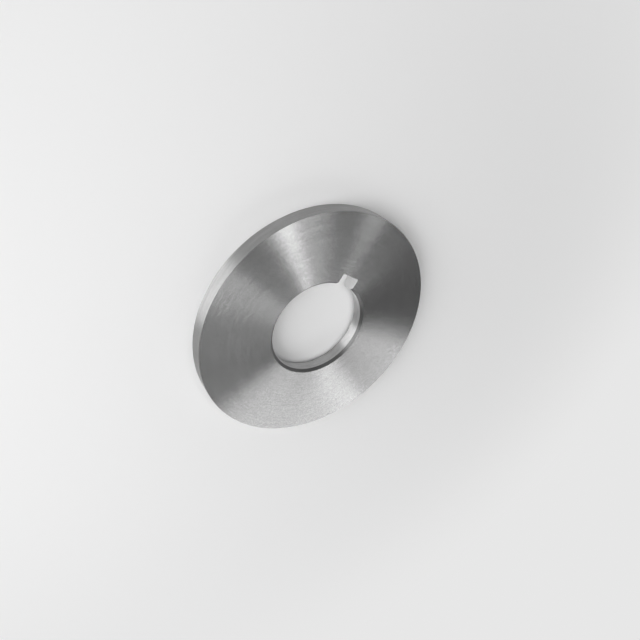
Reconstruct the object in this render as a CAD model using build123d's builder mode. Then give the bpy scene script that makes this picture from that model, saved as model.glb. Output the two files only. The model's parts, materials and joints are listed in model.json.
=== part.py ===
"""Circular slitter knife, a flat ring of hardened tool steel that is ground all over.

It is turned and ground from one blank, so it is a single solid with no joint. Its rim
stands square to both faces, and the two sharp corners there do the cutting. The bore
seats on an arbor, is chamfered at both mouths, and has one keyway for the drive key.

Millimetres, +Z up. The knife lies on one face, with the origin on that face at the
centre of the bore. +Z runs along the bore, and the keyway is on the +Y side.
"""

import os

from build123d import *

# Disc: the rim and the two ground faces
rim_diameter = 200.0
thickness = 13.0

# Bore: the arbor's seat and the 45 degree chamfer at each of its mouths
bore_diameter = 80.0
bore_chamfer = 2.0

# Keyway: cut outwards from the bore's wall, with rounded corners at its floor
keyway_width = 16.0
keyway_depth = 9.0
keyway_corner_radius = 0.8

# Radii that follow from the sizes above
rim_radius = rim_diameter / 2
bore_radius = bore_diameter / 2
keyway_floor_radius = bore_radius + keyway_depth

with BuildPart() as slitter_knife:
    # The ring is one half section turned about the bore's axis
    with BuildSketch(Plane.XZ) as half_section:
        with Locations((bore_radius, 0)):
            Rectangle(rim_radius - bore_radius, thickness, align=Align.MIN)
        bore_mouths = half_section.vertices().group_by(Axis.X)[0]
        chamfer(bore_mouths, bore_chamfer)
    revolve(axis=Axis.Z)

    # The keyway opens into the bore and runs through from face to face
    with BuildSketch() as keyway:
        Rectangle(keyway_width, keyway_floor_radius, align=(Align.CENTER, Align.MIN))
        floor_corners = keyway.vertices().group_by(Axis.Y)[-1]
        fillet(floor_corners, keyway_corner_radius)
    extrude(amount=thickness, mode=Mode.SUBTRACT)

slitter_knife.part.label = "slitter_knife"
os.makedirs("parts", exist_ok=True)
export_step(slitter_knife.part, "parts/slitter_knife.step")
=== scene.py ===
import json
import math

import bpy
from mathutils import Matrix, Vector


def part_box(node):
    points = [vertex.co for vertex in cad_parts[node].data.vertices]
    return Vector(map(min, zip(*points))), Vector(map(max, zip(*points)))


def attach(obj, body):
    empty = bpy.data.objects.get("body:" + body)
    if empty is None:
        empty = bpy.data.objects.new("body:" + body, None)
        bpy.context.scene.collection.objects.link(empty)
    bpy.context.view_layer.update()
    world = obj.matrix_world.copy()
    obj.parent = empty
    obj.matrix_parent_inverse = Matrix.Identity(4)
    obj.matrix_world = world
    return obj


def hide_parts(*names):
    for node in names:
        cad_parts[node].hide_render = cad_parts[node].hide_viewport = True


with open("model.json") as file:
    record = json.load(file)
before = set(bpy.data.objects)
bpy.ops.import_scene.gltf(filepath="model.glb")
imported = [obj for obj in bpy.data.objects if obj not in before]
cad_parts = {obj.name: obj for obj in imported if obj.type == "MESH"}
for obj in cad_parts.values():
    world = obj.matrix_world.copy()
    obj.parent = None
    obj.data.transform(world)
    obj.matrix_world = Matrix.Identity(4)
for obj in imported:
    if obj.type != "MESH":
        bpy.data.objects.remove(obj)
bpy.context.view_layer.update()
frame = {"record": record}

# The knife is one flat ring of hardened tool steel, turned to a square rim and to a bore
# with a chamfer at both mouths. Its half section is drawn standing up beside the axis and
# is then turned once round, as the lathe does it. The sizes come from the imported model.
MILLIMETRE = 0.001
knife_low, knife_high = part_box("slitter_knife")
bore_mount = next(m for m in frame["record"]["mounts"] if m["name"] == "bore")
rim_radius = knife_high.x
thickness = knife_high.z
bore_radius = bore_mount["dims"]["r_mm"] * MILLIMETRE
bore_wall_height = bore_mount["dims"]["length_mm"] * MILLIMETRE
bore_chamfer = (thickness - bore_wall_height) / 2
ring_width = rim_radius - bore_radius
ring_middle = bore_radius + ring_width / 2
turning_steps = 352
weld_distance = 0.001 * MILLIMETRE
# No edge is quite sharp: each one is stoned back to a narrow flat that catches the light
stoned_width = 0.15 * MILLIMETRE


def select_only(part, wanted):
    """In edit mode, selects those vertices or edges of the active mesh for which wanted is true."""
    bpy.ops.object.mode_set(mode="OBJECT")
    mesh = bpy.context.object.data
    for elements in (mesh.vertices, mesh.edges, mesh.polygons):
        elements.foreach_set("select", [False] * len(elements))
    for element in getattr(mesh, part):
        element.select = wanted(element)
    bpy.ops.object.mode_set(mode="EDIT")
    bpy.ops.mesh.select_mode(type={"vertices": "VERT", "edges": "EDGE"}[part])


bpy.ops.object.select_all(action="DESELECT")
bpy.ops.mesh.primitive_plane_add(
    size=1,
    location=(ring_middle, 0, thickness / 2),
    rotation=(math.radians(90), 0, 0),
)
knife = bpy.context.object
knife.name = "ground_slitter_knife"
knife.scale = (ring_width, thickness, 1)
bpy.ops.object.transform_apply(location=True, rotation=True, scale=True)

select_only("vertices", lambda corner: corner.co.x < ring_middle)
bpy.ops.mesh.bevel(offset=bore_chamfer, affect="VERTICES")
bpy.ops.mesh.select_all(action="SELECT")
bpy.ops.mesh.bevel(offset=stoned_width, affect="VERTICES")
bpy.ops.mesh.select_all(action="SELECT")
bpy.ops.mesh.delete(type="ONLY_FACE")
bpy.ops.mesh.select_all(action="SELECT")
bpy.ops.mesh.spin(steps=turning_steps, angle=math.tau, center=(0, 0, 0), axis=(0, 0, 1))
bpy.ops.mesh.select_all(action="SELECT")
bpy.ops.mesh.remove_doubles(threshold=weld_distance)
bpy.ops.mesh.normals_make_consistent(inside=False)
bpy.ops.object.mode_set(mode="OBJECT")

# The keyway is a slot for the key that drives the knife. It is broached through the ring
# from face to face, outwards from the bore, and its floor has small corner radii.
keyway_width = 16 * MILLIMETRE
keyway_depth = 9 * MILLIMETRE
keyway_corner_radius = 0.8 * MILLIMETRE
keyway_corner_steps = 8
keyway_floor = bore_radius + keyway_depth
broach_overrun = 1 * MILLIMETRE

bpy.ops.object.select_all(action="DESELECT")
bpy.ops.mesh.primitive_cube_add(size=1, location=(0, keyway_floor / 2, thickness / 2))
broach = bpy.context.object
broach.scale = (keyway_width, keyway_floor, thickness + 2 * broach_overrun)
bpy.ops.object.transform_apply(location=True, rotation=True, scale=True)


def is_floor_corner(edge):
    """True for the broach's two upright edges at the keyway's floor."""
    start, end = (broach.data.vertices[i].co for i in edge.vertices)
    upright = abs(start.z - end.z) > thickness
    return upright and start.y > bore_radius


select_only("edges", is_floor_corner)
bpy.ops.mesh.bevel(offset=keyway_corner_radius, segments=keyway_corner_steps, affect="EDGES")
bpy.ops.object.mode_set(mode="OBJECT")

bpy.ops.object.select_all(action="DESELECT")
bpy.context.view_layer.objects.active = knife
knife.select_set(True)
slotting = knife.modifiers.new("keyway", "BOOLEAN")
slotting.object = broach
slotting.operation = "DIFFERENCE"
slotting.solver = "EXACT"
bpy.ops.object.modifier_apply(modifier=slotting.name)
bpy.data.objects.remove(broach)

# The broach leaves a burr where it breaks out, so the keyway's edges are stoned by hand too,
# as narrow as the turned ones.
square_edge_angle = math.radians(60)
smooth_angle = math.radians(15)

stoning = knife.modifiers.new("stoned_keyway", "BEVEL")
stoning.width = stoned_width
stoning.segments = 1
stoning.limit_method = "ANGLE"
stoning.angle_limit = square_edge_angle
stoning.use_clamp_overlap = False
bpy.ops.object.modifier_apply(modifier=stoning.name)
bpy.ops.object.shade_smooth_by_angle(angle=smooth_angle)

# The knife is bare steel. Its faces, rim and bore are ground and its chamfers turned, so
# fine lines run round the axis and draw its gloss out across them, into bright fans. The
# chamfers' far darker grey is painted shade, and the keyway's walls are broached and satin.
STEEL_GREY = 0.57
# The rim's grey is painted shade: the same steel, made darker so that the rim renders darker
RIM_PAINTED_SHADE_GREY = 0.45
# The chamfers' grey is painted shade: the same steel, made far darker so that they render dark
CHAMFER_PAINTED_SHADE_GREY = 0.17
# The keyway's grey is a painted highlight: the same steel, made lighter so its walls render bright
KEYWAY_PAINTED_HIGHLIGHT_GREY = 0.75
quarter_turn = 0.25
noise_range = (0.25, 0.75)


def varied(tree, pattern, middle, spread):
    """A value that wanders by spread on both sides of middle, as the pattern does."""
    value = tree.nodes.new("ShaderNodeMapRange")
    value.inputs["From Min"].default_value, value.inputs["From Max"].default_value = noise_range
    value.inputs["To Min"].default_value = middle - spread
    value.inputs["To Max"].default_value = middle + spread
    tree.links.new(pattern, value.inputs["Value"])
    return value.outputs["Result"]


def fine_noise(tree, spot):
    """Noise with finer layers in it, read at the place that spot gives."""
    finer_layers = 3
    strength_of_each_finer_layer = 0.6
    noise = tree.nodes.new("ShaderNodeTexNoise")
    noise.inputs["Scale"].default_value = 1
    noise.inputs["Detail"].default_value = finer_layers
    noise.inputs["Roughness"].default_value = strength_of_each_finer_layer
    tree.links.new(spot, noise.inputs["Vector"])
    return noise.outputs["Fac"]


def round_the_axis(tree, arcs_per_turn, lines_per_metre):
    """Noise drawn out round the knife's axis, into that many arcs a turn and lines a metre."""
    height_share = 0.7
    nodes, links = tree.nodes, tree.links
    place = nodes.new("ShaderNodeTexCoord")
    flat = nodes.new("ShaderNodeVectorMath")
    flat.operation = "MULTIPLY"
    flat.inputs[1].default_value = (1, 1, 0)
    links.new(place.outputs["Object"], flat.inputs[0])
    radius = nodes.new("ShaderNodeVectorMath")
    radius.operation = "LENGTH"
    links.new(flat.outputs["Vector"], radius.inputs[0])
    direction = nodes.new("ShaderNodeVectorMath")
    direction.operation = "NORMALIZE"
    links.new(flat.outputs["Vector"], direction.inputs[0])
    along = nodes.new("ShaderNodeVectorMath")
    along.operation = "SCALE"
    along.inputs["Scale"].default_value = arcs_per_turn / math.tau
    links.new(direction.outputs["Vector"], along.inputs[0])
    height = nodes.new("ShaderNodeSeparateXYZ")
    links.new(place.outputs["Object"], height.inputs["Vector"])
    # Radius and height together tell the lines apart on faces, walls and chamfers alike
    across = nodes.new("ShaderNodeMath")
    across.operation = "MULTIPLY_ADD"
    across.inputs[1].default_value = height_share
    links.new(height.outputs["Z"], across.inputs[0])
    links.new(radius.outputs["Value"], across.inputs[2])
    pitch = nodes.new("ShaderNodeMath")
    pitch.operation = "MULTIPLY"
    pitch.inputs[1].default_value = lines_per_metre
    links.new(across.outputs["Value"], pitch.inputs[0])
    upward = nodes.new("ShaderNodeCombineXYZ")
    links.new(pitch.outputs["Value"], upward.inputs["Z"])
    spot = nodes.new("ShaderNodeVectorMath")
    spot.operation = "ADD"
    links.new(along.outputs["Vector"], spot.inputs[0])
    links.new(upward.outputs["Vector"], spot.inputs[1])
    return fine_noise(tree, spot.outputs["Vector"])


def relief(tree, marks, depth, under=None):
    """The tilt that marks of that depth give the surface, added to the tilt under them."""
    bump = tree.nodes.new("ShaderNodeBump")
    bump.inputs["Strength"].default_value = 1
    bump.inputs["Distance"].default_value = depth
    tree.links.new(marks, bump.inputs["Height"])
    if under is not None:
        tree.links.new(under, bump.inputs["Normal"])
    return bump.outputs["Normal"]


def ground_steel(name, grey_level, roughness, drawn_out, line_contrast, speck_contrast):
    """Steel with lines round the axis, its gloss drawn out across them by up to ten to one."""
    roughness_spread = 0.006
    line_depth = 0.02 * MILLIMETRE
    speck_depth = 0.01 * MILLIMETRE
    material = bpy.data.materials.new(name)
    material.use_nodes = True
    tree = material.node_tree
    shader = tree.nodes["Principled BSDF"]
    shader.inputs["Metallic"].default_value = 1
    shader.inputs["Anisotropic"].default_value = drawn_out
    shader.inputs["Anisotropic Rotation"].default_value = quarter_turn
    tangent = tree.nodes.new("ShaderNodeTangent")
    tangent.direction_type = "RADIAL"
    tangent.axis = "Z"
    tree.links.new(tangent.outputs["Tangent"], shader.inputs["Tangent"])
    lines = round_the_axis(tree, arcs_per_turn=20, lines_per_metre=700)
    specks = round_the_axis(tree, arcs_per_turn=350, lines_per_metre=750)
    lined = varied(tree, lines, grey_level, line_contrast * grey_level)
    speckled = varied(tree, specks, 1, speck_contrast)
    grey = tree.nodes.new("ShaderNodeMath")
    grey.operation = "MULTIPLY"
    tree.links.new(lined, grey.inputs[0])
    tree.links.new(speckled, grey.inputs[1])
    tree.links.new(grey.outputs["Value"], shader.inputs["Base Color"])
    tree.links.new(varied(tree, lines, roughness, roughness_spread), shader.inputs["Roughness"])
    lined_surface = relief(tree, lines, line_depth)
    speckled_surface = relief(tree, specks, speck_depth, under=lined_surface)
    tree.links.new(speckled_surface, shader.inputs["Normal"])
    return material


def broached_steel(name, grey_level, roughness, stroke_contrast):
    """Satin steel, with the faint strokes that the broach leaves from face to face."""
    strokes_per_metre = (1500, 1500, 60)
    stroke_depth = 0.02 * MILLIMETRE
    material = bpy.data.materials.new(name)
    material.use_nodes = True
    tree = material.node_tree
    shader = tree.nodes["Principled BSDF"]
    shader.inputs["Metallic"].default_value = 1
    shader.inputs["Roughness"].default_value = roughness
    place = tree.nodes.new("ShaderNodeTexCoord")
    strokes = tree.nodes.new("ShaderNodeMapping")
    strokes.inputs["Scale"].default_value = strokes_per_metre
    tree.links.new(place.outputs["Object"], strokes.inputs["Vector"])
    pattern = fine_noise(tree, strokes.outputs["Vector"])
    grey = varied(tree, pattern, grey_level, stroke_contrast * grey_level)
    tree.links.new(grey, shader.inputs["Base Color"])
    tree.links.new(relief(tree, pattern, stroke_depth), shader.inputs["Normal"])
    return material


finishes = {
    "face": ground_steel(
        "ground_face",
        grey_level=STEEL_GREY,
        roughness=0.218,
        drawn_out=1,
        line_contrast=0.06,
        speck_contrast=0.14,
    ),
    "rim": ground_steel(
        "ground_rim",
        grey_level=RIM_PAINTED_SHADE_GREY,
        roughness=0.4,
        drawn_out=1,
        line_contrast=0.14,
        speck_contrast=0.05,
    ),
    "bore": ground_steel(
        "ground_bore",
        grey_level=STEEL_GREY,
        roughness=0.4,
        drawn_out=1,
        line_contrast=0.14,
        speck_contrast=0.05,
    ),
    "chamfer": ground_steel(
        "turned_chamfer",
        grey_level=CHAMFER_PAINTED_SHADE_GREY,
        roughness=0.45,
        drawn_out=0.6,
        line_contrast=0.12,
        speck_contrast=0.05,
    ),
    "keyway": broached_steel(
        "broached_keyway",
        grey_level=KEYWAY_PAINTED_HIGHLIGHT_GREY,
        roughness=0.65,
        stroke_contrast=0.1,
    ),
}


def finish_of(face):
    """The name of the finish that this face of the knife has."""
    least_rise = math.radians(30)
    middle = face.center
    radius = math.hypot(middle.x, middle.y)
    tilt = abs(face.normal.z)
    in_keyway = (
        middle.y > 0
        and abs(middle.x) < keyway_width / 2 + stoned_width
        and radius > bore_radius - stoned_width
        and radius < keyway_floor + bore_chamfer
        and tilt < math.cos(least_rise)
    )
    if in_keyway:
        return "keyway"
    if tilt > math.cos(smooth_angle):
        return "face"
    if radius > ring_middle:
        return "rim"
    if tilt < math.sin(smooth_angle):
        return "bore"
    return "chamfer"


for steel in finishes.values():
    knife.data.materials.append(steel)
slot_numbers = {name: number for number, name in enumerate(finishes)}
for face in knife.data.polygons:
    face.material_index = slot_numbers[finish_of(face)]

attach(knife, "root")
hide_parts("slitter_knife")

# The floor is a plain pale sheet on which the knife lies flat. Round the knife it is lit and
# shadowed as any sheet is. Further out it turns into an even pale distance, which the camera
# and the steel both see.
FLOOR_SIZE = 8
FLOOR_GAP = 0.05 * MILLIMETRE
FLOOR_GREY = 0.95
PALE_DISTANCE = 0.8
LIT_FLOOR_RADIUS = 0.15
EVEN_FLOOR_RADIUS = 0.55

bpy.ops.object.select_all(action="DESELECT")
bpy.ops.mesh.primitive_plane_add(size=FLOOR_SIZE, location=(0, 0, -FLOOR_GAP))
floor = bpy.context.object
floor.name = "pale_floor"
floor_paint = bpy.data.materials.new("pale_floor_paint")
floor_paint.use_nodes = True
floor_nodes, floor_links = floor_paint.node_tree.nodes, floor_paint.node_tree.links
floor_shader = floor_nodes["Principled BSDF"]
floor_shader.inputs["Base Color"].default_value = (FLOOR_GREY, FLOOR_GREY, FLOOR_GREY, 1)
floor_shader.inputs["Roughness"].default_value = 1
floor_shader.inputs["Specular IOR Level"].default_value = 0
floor_place = floor_nodes.new("ShaderNodeTexCoord")
floor_radius = floor_nodes.new("ShaderNodeVectorMath")
floor_radius.operation = "LENGTH"
floor_links.new(floor_place.outputs["Object"], floor_radius.inputs[0])
distance = floor_nodes.new("ShaderNodeMapRange")
distance.interpolation_type = "SMOOTHSTEP"
distance.inputs["From Min"].default_value = LIT_FLOOR_RADIUS
distance.inputs["From Max"].default_value = EVEN_FLOOR_RADIUS
floor_links.new(floor_radius.outputs["Value"], distance.inputs["Value"])
sight = floor_nodes.new("ShaderNodeLightPath")
seen_directly = floor_nodes.new("ShaderNodeMath")
seen_directly.operation = "ADD"
floor_links.new(sight.outputs["Is Camera Ray"], seen_directly.inputs[0])
floor_links.new(sight.outputs["Is Glossy Ray"], seen_directly.inputs[1])
seen = floor_nodes.new("ShaderNodeMath")
seen.operation = "ADD"
seen.use_clamp = True
floor_links.new(seen_directly.outputs["Value"], seen.inputs[0])
floor_links.new(sight.outputs["Is Transmission Ray"], seen.inputs[1])
evenness = floor_nodes.new("ShaderNodeMath")
evenness.operation = "MULTIPLY"
floor_links.new(distance.outputs["Result"], evenness.inputs[0])
floor_links.new(seen.outputs["Value"], evenness.inputs[1])
pale_distance = floor_nodes.new("ShaderNodeEmission")
pale_distance.inputs["Strength"].default_value = PALE_DISTANCE
floor_mix = floor_nodes.new("ShaderNodeMixShader")
floor_links.new(evenness.outputs["Value"], floor_mix.inputs["Fac"])
floor_links.new(floor_shader.outputs["BSDF"], floor_mix.inputs[1])
floor_links.new(pale_distance.outputs["Emission"], floor_mix.inputs[2])
floor_links.new(floor_mix.outputs["Shader"], floor_nodes["Material Output"].inputs["Surface"])
floor.data.materials.append(floor_paint)

# The light is a dim even room, with the pale backdrop low round it, and a few large
# softboxes round the knife, all of them aimed at its middle from the same distance. Each one
# draws its own bright fan on the ground face.
ROOM_LIGHT = 0.116
BACKDROP_TOP = math.radians(13)
BACKDROP_FADE = math.radians(22)
SOFTBOX_DISTANCE = 1.2

room = bpy.data.worlds.new("room")
room.use_nodes = True
room_nodes, room_links = room.node_tree.nodes, room.node_tree.links
direction = room_nodes.new("ShaderNodeTexCoord")
rise = room_nodes.new("ShaderNodeSeparateXYZ")
room_links.new(direction.outputs["Generated"], rise.inputs["Vector"])
skyline = room_nodes.new("ShaderNodeMapRange")
skyline.interpolation_type = "SMOOTHSTEP"
skyline.inputs["From Min"].default_value = math.sin(BACKDROP_TOP)
skyline.inputs["From Max"].default_value = math.sin(BACKDROP_FADE)
skyline.inputs["To Min"].default_value = PALE_DISTANCE
skyline.inputs["To Max"].default_value = ROOM_LIGHT
room_links.new(rise.outputs["Z"], skyline.inputs["Value"])
room_shader = room_nodes["Background"]
room_shader.inputs["Color"].default_value = (1, 1, 1, 1)
room_links.new(skyline.outputs["Result"], room_shader.inputs["Strength"])
bpy.context.scene.world = room


def softbox(name, azimuth, elevation, width, height, lean, radiance):
    """A softbox aimed at the knife, with its place and lean in degrees and its size in metres."""
    azimuth, elevation, lean = (math.radians(a) for a in (azimuth, elevation, lean))
    outwards = Vector((math.cos(azimuth), math.sin(azimuth), 0)) * math.cos(elevation)
    outwards.z = math.sin(elevation)
    sideways = Vector((-math.sin(azimuth), math.cos(azimuth), 0))
    upwards = outwards.cross(sideways)
    across = sideways * math.cos(lean) + upwards * math.sin(lean)
    along = upwards * math.cos(lean) - sideways * math.sin(lean)
    lamp = bpy.data.lights.new(name, "AREA")
    lamp.shape = "RECTANGLE"
    lamp.size = width
    lamp.size_y = height
    lamp.energy = radiance * math.pi * width * height
    box = bpy.data.objects.new(name, lamp)
    place = Matrix((across, along, outwards)).transposed().to_4x4()
    place.translation = outwards * SOFTBOX_DISTANCE
    box.matrix_world = place
    bpy.context.scene.collection.objects.link(box)


softbox("side_box", azimuth=197.4, elevation=25.6, width=1.01, height=1.08, lean=0.1, radiance=4.00)
softbox("long_window", azimuth=313.4, elevation=30.2, width=0.88, height=0.48, lean=17.4, radiance=1.25)
softbox("overhead_left", azimuth=247.2, elevation=79.0, width=0.21, height=1.12, lean=95.7, radiance=1.03)
softbox("overhead_right", azimuth=66.5, elevation=71.7, width=1.15, height=0.29, lean=171.1, radiance=1.47)
softbox("low_strip", azimuth=285.0, elevation=22.6, width=0.84, height=0.43, lean=71.7, radiance=1.00)
softbox("overhead_strip", azimuth=55.9, elevation=75.1, width=1.40, height=0.10, lean=177.2, radiance=1.50)
softbox("corner_window", azimuth=341.4, elevation=27.4, width=0.30, height=0.52, lean=2.6, radiance=1.35)
softbox("back_strip", azimuth=36.8, elevation=41.4, width=0.15, height=0.72, lean=55.1, radiance=1.50)

# The camera looks down at the knife's near side from half a metre away. It is turned about
# its own line of sight, so the keyway stands at the upper right of the picture.
LENS = 34.853
CAMERA_AZIMUTH = math.radians(159.446)
CAMERA_ELEVATION = math.radians(44.783)
CAMERA_DISTANCE = 0.49364
CAMERA_TURN = math.radians(136.209)
AIM_SHIFT = Vector((-0.0039, 0.00725, 0))
face_middle = Vector((0, 0, thickness))
aim = face_middle + AIM_SHIFT

lens = bpy.data.cameras.new("camera")
lens.lens = LENS
camera = bpy.data.objects.new("camera", lens)
bpy.context.scene.collection.objects.link(camera)
bpy.context.scene.camera = camera
towards_camera = Vector((math.cos(CAMERA_AZIMUTH), math.sin(CAMERA_AZIMUTH), 0))
towards_camera *= math.cos(CAMERA_ELEVATION)
towards_camera.z = math.sin(CAMERA_ELEVATION)
camera.location = face_middle + towards_camera * CAMERA_DISTANCE
level_view = (aim - camera.location).to_track_quat("-Z", "Y").to_matrix()
camera.rotation_euler = (level_view @ Matrix.Rotation(CAMERA_TURN, 3, "Z")).to_euler()

bpy.context.scene.view_settings.view_transform = "Standard"
